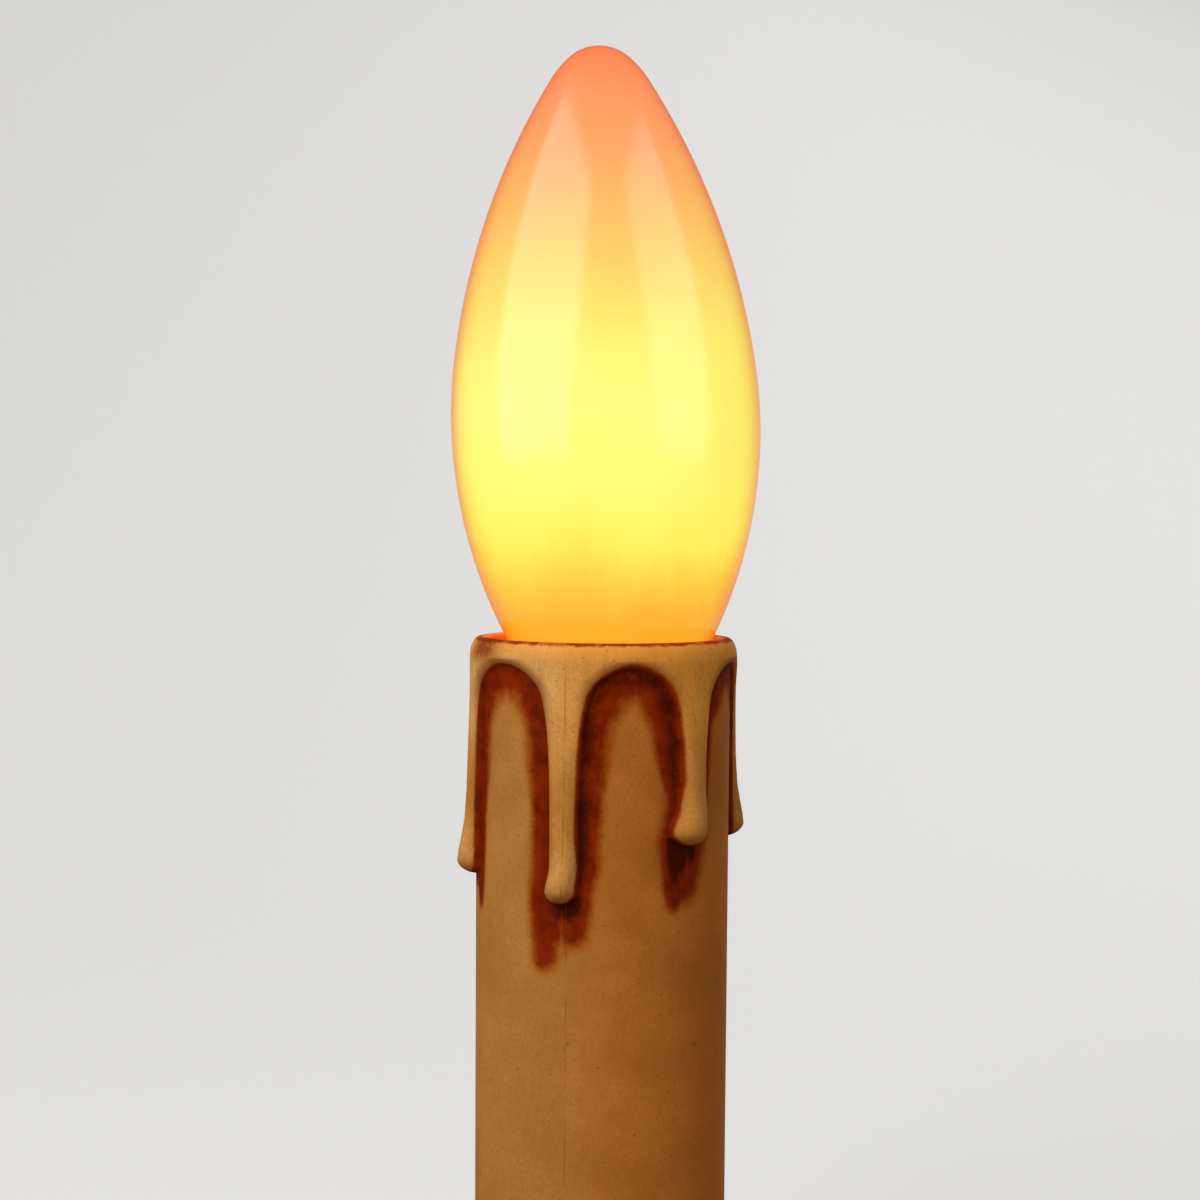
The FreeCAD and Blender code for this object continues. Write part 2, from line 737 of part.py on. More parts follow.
def build():
    cap = cap_shell()
    glass = bulb_glass()
    cement = capping_cement(glass)
    screws = barrel_screws()
    return {
        "bulb_glass": glass,
        "cap_shell": cap,
        "capping_cement": cement,
        "cap_insulator": cap_insulator(),
        "cap_contact": cap_contact(),
        "side_solder": side_solder(cap, cement),
        "drip_sleeve": drip_sleeve(),
        "holder_barrel": holder_barrel(),
        "thread_shell": thread_shell(),
        "contact_base": contact_base(),
        "centre_contact": centre_contact(),
        "shell_contact": shell_contact(),
        "live_terminal": terminal(90),
        "neutral_terminal": terminal(-90),
        "live_terminal_screw": terminal_screw(90),
        "neutral_terminal_screw": terminal_screw(-90),
        "barrel_screw_right": screws[0],
        "barrel_screw_left": screws[1],
        "stirrup": stirrup(),
        "stirrup_screw_right": stirrup_screw(0),
        "stirrup_screw_left": stirrup_screw(180),
        "thread_bush": thread_bush(),
        "lock_screw": lock_screw(),
    }


os.makedirs("parts", exist_ok=True)
for node, shape in build().items():
    shape.exportStep(f"parts/{node}.step")
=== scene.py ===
import math

import bpy
import numpy as np
from mathutils import Matrix, Vector


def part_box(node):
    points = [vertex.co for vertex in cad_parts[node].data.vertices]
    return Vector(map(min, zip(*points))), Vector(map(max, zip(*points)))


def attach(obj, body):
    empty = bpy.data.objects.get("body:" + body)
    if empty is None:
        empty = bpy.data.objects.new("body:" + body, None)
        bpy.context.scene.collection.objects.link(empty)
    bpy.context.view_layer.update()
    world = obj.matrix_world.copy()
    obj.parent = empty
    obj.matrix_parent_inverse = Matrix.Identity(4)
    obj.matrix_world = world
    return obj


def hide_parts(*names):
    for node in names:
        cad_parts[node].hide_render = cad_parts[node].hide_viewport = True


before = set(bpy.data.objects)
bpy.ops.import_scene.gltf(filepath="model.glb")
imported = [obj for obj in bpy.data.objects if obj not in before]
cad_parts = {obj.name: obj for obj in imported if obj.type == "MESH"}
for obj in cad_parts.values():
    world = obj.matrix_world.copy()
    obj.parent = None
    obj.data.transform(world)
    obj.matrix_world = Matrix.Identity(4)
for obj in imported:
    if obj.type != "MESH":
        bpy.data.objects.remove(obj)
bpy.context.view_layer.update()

MM = 0.001

# Read from the frame, in millimetres
rim_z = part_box("drip_sleeve")[1][2] / MM
glass_foot_z, bulb_tip_z = (corner[2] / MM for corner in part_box("bulb_glass"))

# The photo's camera. Elevation and roll in degrees, the rest in millimetres.
camera_distance = 450.0
camera_elevation = 2.6
camera_roll = 0.4
view_width = 136.1
aim = Vector((-0.44, 0.0, 89.2))
sensor_width = 36.0

# Soft boxes: name, azimuth and elevation in degrees, distance, width and height in metres, power in watts,
# whether it lights matt surfaces, and whether gloss shows it. Azimuth 0 is at the camera's side, and a
# positive one is to the right.
soft_boxes = (
    ("key", -38, 36, 0.62, 0.34, 0.34, 4.15, True, False),
    ("fill", 60, 24, 0.9, 0.54, 0.54, 1.67, True, False),
    ("back", 160, 34, 0.8, 0.5, 0.5, 3.0, True, False),
    ("left_window", -56, 24, 0.62, 0.76, 0.78, 8.4, False, True),
    ("right_window", 60, 24, 0.66, 0.55, 0.73, 4.4, False, True),
)
aimed_height = 0.09  # metres, where they point
world_strength = 0.11

# Sleeve, in millimetres and degrees
foot_radius = 14.175
neck_radius = 14.375
bore_radius = 13.0
bore_lip = 0.25
foot_chamfer = 0.35
rim_rounding_out = 1.1
rim_rounding_down = 2.1
seam_angle = -16.0
sleeve_segments = 504
# Its rings of vertices lie this far apart: on the wax, from there down to fine_depth, and on to the foot
wax_step = 0.2
fine_step = 0.8
coarse_step = 4.0
fine_depth = 42.0
rim_points = 9
bore_depths = (2, 8, 20, 50)

# The wax on it, in millimetres: a band under the rim, arches, and runs that end in a bead. The second and
# third runs follow the photo a little more closely than the solid's.
band_thickness = 0.78
band_depth = 2.75
arch_fillet = 3.4
edge_rounding = 1.6  # the wax reaches its full height this far in from its edge
# Each run: degrees round from the front, length below the rim, half widths of the bead and of the stem, and
# how far the bead lies to the side
drips = (
    (-79.0, 26.7, 1.75, 1.55, 0.0),
    (-16.9, 28.9, 1.9, 1.8, -0.4),
    (42.6, 22.6, 2.6, 2.05, -0.6),
    (104.0, 22.9, 1.7, 1.5, 0.0),
    (163.0, 28.2, 1.8, 1.55, 0.2),
    (222.0, 25.0, 1.9, 1.6, -0.3),
)
bead_corner = 0.86  # corner radius, as a share of the bead's half width
# Heights above a run's tip between which its bead's sideways shift and its bead's breadth fade out
shift_span = (1.0, 4.3)
swell_span = (1.2, 4.1)
# A run grows broader upwards: by flare on each side at flare_depth below the rim, and e times as much for
# each flare_rise above that. The limits keep the power in range.
flare = 0.065
flare_depth = 18.4
flare_rise = 4.3
flare_limits = (-9, 4)
# How far a run's crest stands out, by height above its tip, and how broad and how steep it is sideways
crest_heights = (0.0, 0.5, 1.4, 2.7, 3.9, 6.1, 9.5, 14.0, 22.0)
crest_proud = (2.1, 2.25, 2.35, 2.2, 1.95, 1.55, 1.3, 1.15, 0.8)
crest_breadth = 1.15  # times the run's half width
crest_fall = 1.2

# Brown stain rubbed in beside the wax: how wide it is, in millimetres, at each run's left and right, and
# under the arch to the right of each run
stain_sides = ((1.8, 3.8), (3.9, 4.2), (4.6, 2.0), (1.8, 2.6), (3.0, 3.2), (2.8, 2.6))
stain_arches = (5.4, 6.2, 5.0, 5.0, 5.4, 5.0)
arch_span = (6.6, 9.6)  # depths below the rim between which an arch's width gives way to a side's
# and how far it runs on over the wax's own edge at each run's left and right, and round its bead
stain_creep = ((0.4, 0.5), (0.35, 0.85), (1.2, 0.5), (0.5, 0.4), (0.4, 0.4), (0.5, 0.4))
bead_creep = 0.35
creep_span = (4.0, 8.0)  # heights above the tip between which the bead's creep gives way to the stem's
# It falls to a third of its strength at this share of its width, with this power
stain_share = 0.62
stain_power = 1.9
# Thin stain further out: its strength, and how far it passes the width
halo = 0.15
halo_reach = 0.6
# Tongues of stain: run number, start and end as (sideways, below the rim), and the half widths there
stain_tongues = (
    (1, (-1.8, 19.0), (-2.0, 34.7), 2.9, 2.3),
    (1, (1.7, 18.0), (1.6, 32.0), 3.3, 2.4),
    (1, (0.0, 27.0), (0.0, 31.6), 3.8, 3.2),
    (2, (-0.4, 15.0), (-0.5, 26.6), 3.9, 3.6),
    (2, (-1.2, 21.0), (-1.7, 28.6), 3.0, 1.8),
    (0, (1.6, 18.0), (1.9, 29.5), 2.4, 1.2),
    (3, (-1.2, 15.0), (-1.2, 28.0), 2.4, 1.5),
    (3, (1.3, 15.0), (1.2, 25.4), 2.4, 1.5),
    (4, (-1.3, 19.0), (-1.5, 33.0), 2.6, 1.6),
    (4, (1.4, 19.0), (1.3, 34.2), 2.6, 1.6),
    (4, (0.1, 26.0), (0.0, 31.0), 3.0, 2.3),
    (5, (-1.3, 17.0), (-1.5, 28.0), 2.5, 1.5),
    (5, (1.4, 17.0), (1.2, 31.4), 2.6, 1.7),
    (5, (0.1, 23.0), (0.0, 27.8), 3.0, 2.3),
)
tongue_share = 0.72
tongue_power = 2.2
tongue_halo_reach = 0.7
tongue_strength = 1.12
tongue_loss = 0.42  # how much weaker it is at its end
tongue_taper = 1.5
tongue_fading = 3
# Bare lines in the stain under a bead: run number, sideways, start and end below the rim
bare_lines = ((1, 0.1, 28.6, 34.0), (2, 0.2, 22.4, 25.8), (4, 0.1, 28.0, 31.0))
bare_half_width = 0.5
bareness = 0.4  # share of the stain that is gone
# A painted shadow under a bead, added to the stain, over this times its half width squared, from a little
# above its tip
shadow_length = 0.36
shadow_strength = 0.6
shadow_top = 1.0
# Painted shade, in a dirt brown, on the wax's rounded edge: how wide it is at a side and above an arch, and
# how strong
shade_side = 0.85
shade_arch = 1.9
shade_side_strength = 0.5
shade_arch_strength = 0.95
shade_depths = (2.5, 11.0)  # below the rim, where an arch's width and strength give way to a side's
# and on a bead's underside: how high above the tip, how strong, and how far outside the wax's edge it may be
underside_shade_height = 1.8
underside_shade_strength = 0.8
underside_shade_margin = 1.5
# A painted highlight on a bead's upper half: its middle above the tip, its spread, and how far outside the
# wax's edge it may be
highlight_height = 3.7
highlight_spread = 1.9
highlight_margin = 0.5

# Glass outline, in millimetres and degrees: arcs upwards from the widest place, each as its radius and the
# slope at its end, and then the arcs downwards from it
glass_radius = 17.5
glass_arcs = ((51.0, 7.3), (79.3, 32.1), (11.9, 49.2))
lower_radius = 54.5
neck_hollow = 5.0
glass_neck = 7.3
glass_pole = 0.02  # radius of the small face that closes each end
glass_segments = 160
arc_points = 24
lower_points = 48
hollow_points = 12
# The photo's glass leans in its cap: degrees to the left, the height at which it crosses the cap's axis, and
# the height below which it stands upright again
glass_lean = 1.37
lean_height = 112.4
lean_foot = 86.0


def linear(red, green, blue):
    """An sRGB colour, written 0 to 255, as Blender's linear values."""
    def channel(value):
        value /= 255
        return value / 12.92 if value <= 0.04045 else ((value + 0.055) / 1.055) ** 2.4
    return (channel(red), channel(green), channel(blue), 1.0)


# Colours of the tube and of the wax, each cloudy between two tones. The left pair is paler, a painted sheen,
# and the right pair browner, painted shade. A span that goes with a colour gives the two values between
# which it comes in, and how much of it there is at each, if not none and all. Values across the sleeve and
# out from its axis are in metres, below the rim in millimetres, and round it in radians.
tube_lit_left = (linear(160, 105, 45), linear(174, 117, 55))
tube_shaded_right = (linear(155, 89, 31), linear(169, 100, 38))
wax_lit_left = (linear(196, 143, 75), linear(213, 160, 95))
wax_shaded_right = (linear(198, 128, 46), linear(213, 142, 60))
wax_low = (linear(168, 108, 46), linear(184, 124, 58))
cloud_span = (0.35, 0.7)
wax_span = (-0.5, 0.0, 1.0, 0.0)  # millimetres outside the wax's edge
# Across the sleeve, where the painted sheen on the left gives way to the painted shade on the right
lit_to_shaded_span = (-0.010, 0.006)
low_span = (17.0, 5.0, 1.0, 0.0)
# The painted highlight on the beads' upper halves, stronger at the left
highlight_colour = linear(212, 162, 96)
highlight_span = (-0.006, 0.006, 0.4, 0.12)
streak_colour = linear(164, 108, 44)
streak_span = (0.45, 0.75, 0.0, 0.4)
grain_colour = linear(112, 62, 18)
grain_span = (0.3, 0.72, 0.0, 0.28)
# Painted shade on the wax's edges and under the beads
shade_colour = linear(104, 50, 12)
shade_span = (0.05, 1.0, 0.0, 0.85)
# The stain's colours, by its amount, which the noises break up. Its darkest tone is partly painted shade
# beside the wax and painted shadow under the beads. It is least dark in the bay between the first two runs,
# as painted light there.
blotch_amount = 0.3
sponge_amount = 0.32
thin_stain = linear(142, 68, 12)
thin_span = (0.02, 0.34, 0.0, 0.85)
warm_stain = (linear(120, 32, 0), linear(90, 20, 0))
warm_span = (0.16, 0.62)
dark_stain_and_shade = linear(44, 9, 0)
dark_span = (0.68, 1.16)
lit_bay_angle = -50  # degrees
lit_bay_span = (0.38, 0.6, 0.35, 0.88)
# The lamp's glow on the rim and in the bore
rim_glow = linear(226, 146, 62)
rim_glow_span = (2.6, 0.3, 0.0, 0.5)
bore_glow = linear(255, 128, 50)
bore_span = (0.0131, 0.0134, 1.0, 0.0)
bore_glow_span = (7.0, 2.0)
# The line of stain along the rim's outer edge, and a patch of it at the left
raggedness = 0.0007  # metres
rim_line = linear(146, 46, 5)
rim_line_span = (0.42, 0.18)
outer_span = (0.0136, 0.0139)
worn_span = (0.36, 0.52, 0.6, 1.0)
rim_patch = linear(118, 44, 8)
patch_angle = -64  # degrees
patch_span = (0.05, 0.34, 1.0, 0.0)
patch_depths = (3.3, 1.2)
# The mould's seam, and fine dirt
seam_colour = linear(96, 50, 20)
seam_span = (0.0, 0.0085, 1.0, 0.0)
dot_colour = linear(84, 46, 20)
dot_span = (0.68, 0.76)
# Colours of the lit glass, from the rim to the tip
glow_stops = (
    (0.00, linear(252, 174, 38)),
    (0.05, linear(253, 181, 38)),
    (0.10, linear(255, 204, 52)),
    (0.17, linear(255, 240, 84)),
    (0.27, linear(255, 255, 116)),
    (0.38, linear(255, 255, 130)),
    (0.47, linear(255, 250, 124)),
    (0.57, linear(253, 226, 108)),
    (0.66, linear(252, 204, 102)),
    (0.74, linear(252, 182, 100)),
    (0.82, linear(252, 162, 100)),
    (0.91, linear(252, 146, 94)),
    (1.00, linear(250, 124, 78)),
)
# It is more golden at the right of its belly, whose span is in levels from 0 at the rim to 1 at the tip, and
# orange at its limb, where the surface turns away
golden_colour = linear(253, 222, 64)
golden_span = (0.003, 0.017)
golden_share = 0.42
belly_rise = (0.12, 0.3)
belly_fall = (0.62, 0.42)
limb_colour = linear(244, 88, 10)
limb_span = (0.5, 1.0)
limb_share = 0.72
# Stretches of noise along x, y and z: streaks that run down, those on the rim, lumps along the seam, and the
# rubbed lines round what was turned and along what was drawn flat
down_streaks = (1, 1, 0.12)
rim_streaks = (1, 1, 0.2)
seam_lumps = (0.3, 0.3, 1)
turned_lines = (0.15, 0.15, 1.0)
drawn_lines = (1.0, 0.15, 0.15)


# Meshes

def mesh_object(name, vertices, faces, attributes=None):
    mesh = bpy.data.meshes.new(name)
    mesh.from_pydata((np.asarray(vertices) * MM).tolist(), [], faces)
    for key, values in (attributes or {}).items():
        layer = mesh.attributes.new(key, "FLOAT", "POINT")
        layer.data.foreach_set("value", np.asarray(values, dtype=np.float32))
    mesh.shade_smooth()
    mesh.validate()
    obj = bpy.data.objects.new(name, mesh)
    bpy.context.collection.objects.link(obj)
    return obj


def ring_faces(rings, segments, closed=False):
    """Quads between neighbouring rings of a grid of vertices."""
    faces = []
    last = rings if closed else rings - 1
    for i in range(last):
        low = i * segments
        high = ((i + 1) % rings) * segments
        for j in range(segments):
            k = (j + 1) % segments
            faces.append((low + j, low + k, high + k, high + j))
    return faces


def turned(radii, angles, z):
    """One ring of vertices. Angles are in radians from the front, towards the right."""
    return np.column_stack([radii * np.sin(angles), -radii * np.cos(angles), np.full(len(angles), z)])


def graded(start, stop, step):
    return list(np.linspace(start, stop, max(2, round(abs(stop - start) / step) + 1)))[:-1]


def smooth_step(x):
    x = np.clip(x, 0, 1)
    return x * x * (3 - 2 * x)


def rise(value, span):
    """From 0 at the span's start to 1 at its end."""
    return smooth_step((value - span[0]) / (span[1] - span[0]))


def fade(value, span):
    """From 1 at the span's start to 0 at its end."""
    return 1 - rise(value, span)


def wrap(angle):
    return (angle + 180) % 360 - 180


def bell(value, width, power=2.0):
    return np.exp(-(value / width) ** power)


def wax_fields(angle, z):
    """The wax at each angle, in degrees, and height, as a dictionary of fields.

    outside is the distance outside the wax's edge, and height how far the wax stands out. The other three
    are the strengths of the brown stain with a painted shadow under each bead, of painted shade on the wax's
    rounded edge and under the beads, and of a painted highlight on a bead's upper half.
    """
    depth = rim_z - z
    arc_length = (neck_radius + band_thickness / 2) * math.pi / 180  # of one degree
    shape = np.broadcast(angle, z).shape
    # The band and the runs are distances to their outlines. They join with a fillet in each corner.
    nearest = depth - band_depth
    corners = np.maximum(arch_fillet - nearest, 0) ** 2
    proud = np.full(shape, band_thickness)
    underside_shade, bead_shadow, bead_highlight = np.zeros((3, *shape))
    sideways = []
    for front_angle, length, bead, stem, bead_side in drips:
        # Height above the run's tip, and way round from its middle
        up = length - depth
        t = wrap(angle - front_angle) * arc_length - bead_side * fade(up, shift_span)
        broader = flare * np.exp(np.clip((flare_depth - depth) / flare_rise, *flare_limits))
        half = stem + (bead - stem) * fade(up, swell_span) + broader
        # A strip with rounded lower corners
        corner = bead_corner * bead
        side = np.abs(t) - half + corner
        end = corner - up
        outline = np.hypot(np.maximum(side, 0), np.maximum(end, 0)) - corner
        outline += np.minimum(np.maximum(side, end), 0)
        corners = corners + np.maximum(arch_fillet - outline, 0) ** 2
        nearest = np.minimum(nearest, outline)
        crest = np.interp(up, crest_heights, crest_proud)
        near = np.exp(-((t / (half * crest_breadth)) ** 2) * crest_fall)
        proud = np.maximum(proud, band_thickness + (crest - band_thickness) * near)
        sideways.append(t)
        # Painted shade on a bead's underside
        shaded_under = bell(np.maximum(up, 0), underside_shade_height) * (outline < underside_shade_margin)
        underside_shade = np.maximum(underside_shade, shaded_under)
        # Painted shadow under a bead
        below = bell(np.maximum(-up, 0), shadow_length * bead ** 2) * bell(t, bead)
        bead_shadow = np.maximum(bead_shadow, below * (up < shadow_top))
        # A painted highlight on a bead's upper half
        bead_highlight = np.maximum(bead_highlight, bell(up - highlight_height, highlight_spread) * (outline < highlight_margin))
    outside = np.maximum(arch_fillet, nearest) - np.sqrt(corners)
    inside = np.clip(-outside / edge_rounding, 0, 1)
    height = proud * np.sqrt(1 - (1 - inside) ** 2)
    stain, creep, reach = stain_fields(depth, outside, sideways)
    # The painted shadows under the beads darken the stain
    stain = stain + shadow_strength * bead_shadow
    stain = np.where(outside < 0, stain * (1 - smooth_step(-outside / creep)), stain)
    # Painted shade along the wax's rounded edge, widest above the arches, and on the beads' undersides
    near_arch = fade(depth, shade_depths)
    shade_width = shade_side + (shade_arch - shade_side) * near_arch
    strength = shade_side_strength + (shade_arch_strength - shade_side_strength) * near_arch
    painted_shade = bell(outside, shade_width) * strength * reach
    painted_shade = np.maximum(painted_shade, underside_shade_strength * underside_shade)
    return {"outside": outside, "height": height, "stain": stain, "painted_shade": painted_shade, "bead_highlight": bead_highlight}


def stain_fields(depth, outside, sideways):
    """How much stain lies at each place, how far it creeps over the wax's edge, and how it ends below."""
    width, creep, reach = stain_widths(depth, outside, sideways)
    beyond = np.maximum(outside, 0)
    stain = bell(beyond, stain_share * width, stain_power) * reach
    stain = np.maximum(stain, halo * bell(beyond, width + halo_reach) * reach)
    for run, start, end, wide, narrow in stain_tongues:
        along = np.clip((depth - start[1]) / (end[1] - start[1]), 0, 1)
        centre = start[0] + (end[0] - start[0]) * along
        half = wide + (narrow - wide) * along ** tongue_taper
        past_ends = np.maximum(depth - end[1], 0) + np.maximum(start[1] - depth, 0)
        across = np.hypot(sideways[run] - centre, past_ends)
        tongue = bell(across, tongue_share * half, tongue_power)
        tongue = np.maximum(tongue, halo * bell(across, half + tongue_halo_reach))
        stain = np.maximum(stain, tongue * (tongue_strength - tongue_loss * along ** tongue_fading))
    for run, side, top, bottom in bare_lines:
        bare = 1 - smooth_step(np.abs(sideways[run] - side) / bare_half_width)
        stain = stain * (1 - bareness * bare * ((depth > top) & (depth < bottom)))
    return stain, creep, reach


def stain_widths(depth, outside, sideways):
    """The stain's width and creep, blended from the nearest runs and arches, and how it ends below."""
    # Sideways distances over which one side, arch or run gives way to the next
    side_blend = 0.8
    side_turn = (-0.3, 0.3)
    arch_blend = 8.0
    arch_limit = 14.0
    run_blend = 7.0
    tip_span = (-4.0, 2.0)  # depths past the nearest run's tip over which the stain ends
    least = 1e-9
    share, side_width, creep, arch_share, arch_width, lowest = np.zeros((6, *outside.shape))
    following = sideways[1:] + sideways[:1]
    runs = zip(sideways, following, drips, stain_sides, stain_creep, stain_arches)
    for t, nearer, drip, widths, creeps, arch in runs:
        length = drip[1]
        weight = bell(np.abs(t), side_blend, 1.0) + least
        right = rise(t, side_turn)
        share += weight
        side_width += weight * (widths[0] + (widths[1] - widths[0]) * right)
        stem_creep = creeps[0] + (creeps[1] - creeps[0]) * right
        creep += weight * (bead_creep + (stem_creep - bead_creep) * rise(length - depth, creep_span))
        between = bell(t + nearer, arch_blend) * (np.abs(t) < arch_limit) + least
        arch_share += between
        arch_width += between * arch
        lowest = np.maximum(lowest, bell(t, run_blend) * length)
    width = side_width / share
    width += (arch_width / arch_share - width) * fade(depth, arch_span)
    return width, creep / share, fade(depth - lowest, tip_span)


def build_sleeve():
    """The whole sleeve: foot, outside with its wax, rounded rim, flat top and bore."""
    names = ("outside", "stain", "painted_shade", "bead_highlight")
    degrees = np.arange(sleeve_segments) * 360 / sleeve_segments
    vertices = []
    fields = {name: [] for name in names}
    rings = sleeve_rings()
    for radius, z in rings:
        wax = wax_fields(degrees, np.full(sleeve_segments, float(z)))
        on_wall = radius is None
        if on_wall:
            radius = foot_radius + (neck_radius - foot_radius) * z / rim_z + wax["height"]
        vertices.append(turned(radius, np.radians(degrees), z))
        for name in names:
            # Only the wall has stain, painted shade and painted highlights on the beads
            fields[name].append(wax[name] * (on_wall or name == "outside"))
    faces = ring_faces(len(rings), sleeve_segments, closed=True)
    attributes = {name: np.concatenate(values) for name, values in fields.items()}
    return mesh_object("wax_sleeve", np.vstack(vertices), faces, attributes)


def sleeve_rings():
    """The sleeve's rings of vertices, as (radius, z), once round its section. The wall's radius is None."""
    wax_top = rim_z - rim_rounding_down
    wax_bottom = rim_z - max(drip[1] for drip in drips) - 1.0
    heights = graded(foot_chamfer, rim_z - fine_depth, coarse_step)
    heights += graded(rim_z - fine_depth, wax_bottom, fine_step)
    heights += graded(wax_bottom, wax_top, wax_step) + [wax_top]
    rings = [(bore_radius, foot_chamfer), (bore_radius + foot_chamfer, 0), (foot_radius - foot_chamfer, 0)]
    rings += [(None, z) for z in heights]
    for slope in np.radians(np.linspace(0, 90, rim_points)[1:]):
        z = rim_z - rim_rounding_down * (1 - math.sin(slope))
        rings.append((neck_radius + band_thickness - rim_rounding_out * (1 - math.cos(slope)), z))
    rings += [(bore_radius + bore_lip, rim_z), (bore_radius, rim_z - bore_lip)]
    return rings + [(bore_radius, rim_z - depth) for depth in bore_depths]


def glass_outline():
    """Points of the glass from its foot in the cap up to its tip, as (radius, height above the widest)."""
    upper = []
    radius, height, slope = glass_radius, 0.0, 0.0
    for arc, end_degrees in glass_arcs:
        end = math.radians(end_degrees)
        for angle in np.linspace(slope, end, arc_points)[:-1]:
            r = radius - arc * (math.cos(slope) - math.cos(angle))
            upper.append((r, height + arc * (math.sin(angle) - math.sin(slope))))
        radius -= arc * (math.cos(slope) - math.cos(end))
        height += arc * (math.sin(end) - math.sin(slope))
        slope = end
    tip = radius / math.cos(slope)
    centre = height - tip * math.sin(slope)
    for angle in np.linspace(slope, math.pi / 2, arc_points):
        upper.append((tip * math.cos(angle), centre + tip * math.sin(angle)))
    both = lower_radius + neck_hollow
    slope = math.acos(1 - (glass_radius - glass_neck) / both)
    neck_z = -both * math.sin(slope)
    lower = []
    for angle in np.linspace(0, slope, lower_points)[1:]:
        lower.append((glass_radius - lower_radius * (1 - math.cos(angle)), -lower_radius * math.sin(angle)))
    for angle in np.linspace(slope, 0, hollow_points)[1:]:
        r = glass_neck + neck_hollow * (1 - math.cos(angle))
        lower.append((r, neck_z + neck_hollow * math.sin(angle)))
    return lower[::-1] + upper


def build_glass():
    outline = glass_outline()
    lift = bulb_tip_z - outline[-1][1]
    rings = [(glass_pole, glass_foot_z), (glass_neck, glass_foot_z)]
    rings += [(r, z + lift) for r, z in outline[:-1]]
    rings.append((glass_pole, bulb_tip_z))
    angles = np.arange(glass_segments) * 2 * math.pi / glass_segments
    x, y, z = np.vstack([turned(r, angles, height) for r, height in rings]).T
    x = x + math.tan(math.radians(glass_lean)) * (lean_height - np.maximum(z, lean_foot))
    faces = ring_faces(len(rings), glass_segments)
    faces.append(tuple(range(glass_segments))[::-1])
    faces.append(tuple(range((len(rings) - 1) * glass_segments, len(rings) * glass_segments)))
    return mesh_object("lit_glass", np.column_stack([x, y, z]), faces)


# Materials

class Shader:
    """A small helper round one material's node tree."""

    def __init__(self, name):
        self.material = bpy.data.materials.new(name)
        self.material.use_nodes = True
        self.nodes = self.material.node_tree.nodes
        self.links = self.material.node_tree.links
        self.principled = self.nodes["Principled BSDF"]

    def add(self, kind, **settings):
        node = self.nodes.new(kind)
        for key, value in settings.items():
            setattr(node, key, value)
        return node

    def put(self, socket, value):
        """Links a socket to the input, or sets a plain value on it."""
        if isinstance(value, bpy.types.NodeSocket):
            self.links.new(value, socket)
        else:
            socket.default_value = value

    def set(self, **values):
        for key, value in values.items():
            self.put(self.principled.inputs[key.replace("_", " ")], value)

    def math(self, operation, first, second=0.0):
        node = self.add("ShaderNodeMath", operation=operation)
        self.put(node.inputs[0], first)
        self.put(node.inputs[1], second)
        return node.outputs[0]

    def plus(self, first, second):
        return self.math("ADD", first, second)

    def minus(self, first, second):
        return self.math("SUBTRACT", first, second)

    def times(self, first, second):
        return self.math("MULTIPLY", first, second)

    def swing(self, noise, amount):
        """Noise moved to lie round zero, times the amount."""
        return self.times(self.minus(noise, 0.5), amount)

    def away(self, angle, degrees):
        """How far an angle is from the one given in degrees, in radians."""
        return self.math("ABSOLUTE", self.minus(angle, math.radians(degrees)))

    def place(self):
        return self.add("ShaderNodeTexCoord").outputs["Object"]

    def axes(self):
        """The x, y and z of a place, in metres."""
        node = self.add("ShaderNodeSeparateXYZ")
        self.links.new(self.place(), node.inputs[0])
        return node.outputs

    def attribute(self, name):
        return self.add("ShaderNodeAttribute", attribute_name=name).outputs["Fac"]

    def noise(self, scale, detail=4.0, roughness=0.6, stretch=(1, 1, 1)):
        """Noise whose scale is in cycles a millimetre."""
        mapping = self.add("ShaderNodeMapping")
        mapping.inputs["Scale"].default_value = [s / MM * scale for s in stretch]
        self.links.new(self.place(), mapping.inputs["Vector"])
        node = self.add("ShaderNodeTexNoise")
        node.inputs["Scale"].default_value = 1.0
        node.inputs["Detail"].default_value = detail
        node.inputs["Roughness"].default_value = roughness
        self.links.new(mapping.outputs[0], node.inputs["Vector"])
        return node.outputs["Fac"]

    def ramp(self, value, stops):
        node = self.add("ShaderNodeValToRGB")
        elements = node.color_ramp.elements
        while len(elements) < len(stops):
            elements.new(0.5)
        for element, (position, colour) in zip(elements, stops):
            element.position = position
            element.color = colour
        self.put(node.inputs["Fac"], value)
        return node.outputs["Color"]

    def span(self, value, low, high, to_low=0.0, to_high=1.0):
        """A smooth step from to_low, where the value is low, to to_high, where it is high."""
        node = self.add("ShaderNodeMapRange", interpolation_type="SMOOTHSTEP")
        for key, number in zip(("From Min", "From Max", "To Min", "To Max"), (low, high, to_low, to_high)):
            node.inputs[key].default_value = number
        self.put(node.inputs["Value"], value)
        return node.outputs["Result"]

    def below_rim(self, z, deep, shallow, to_deep=0.0, to_shallow=1.0):
        """The same step in height, between depths below the rim in millimetres, negative above it."""
        return self.span(z, (rim_z - deep) * MM, (rim_z - shallow) * MM, to_deep, to_shallow)

    def mix(self, factor, first, second):
        node = self.add("ShaderNodeMix", data_type="RGBA")
        self.put(node.inputs["Factor"], factor)
        self.put(node.inputs[6], first)
        self.put(node.inputs[7], second)
        return node.outputs[2]

    def mix_part(self, share, factor, first, second):
        """A mix with only this share of the factor."""
        return self.mix(self.times(factor, share), first, second)

    def bump(self, height, distance, strength=1.0):
        node = self.add("ShaderNodeBump")
        node.inputs["Strength"].default_value = strength
        node.inputs["Distance"].default_value = distance * MM
        self.put(node.inputs["Height"], height)
        return node.outputs["Normal"]


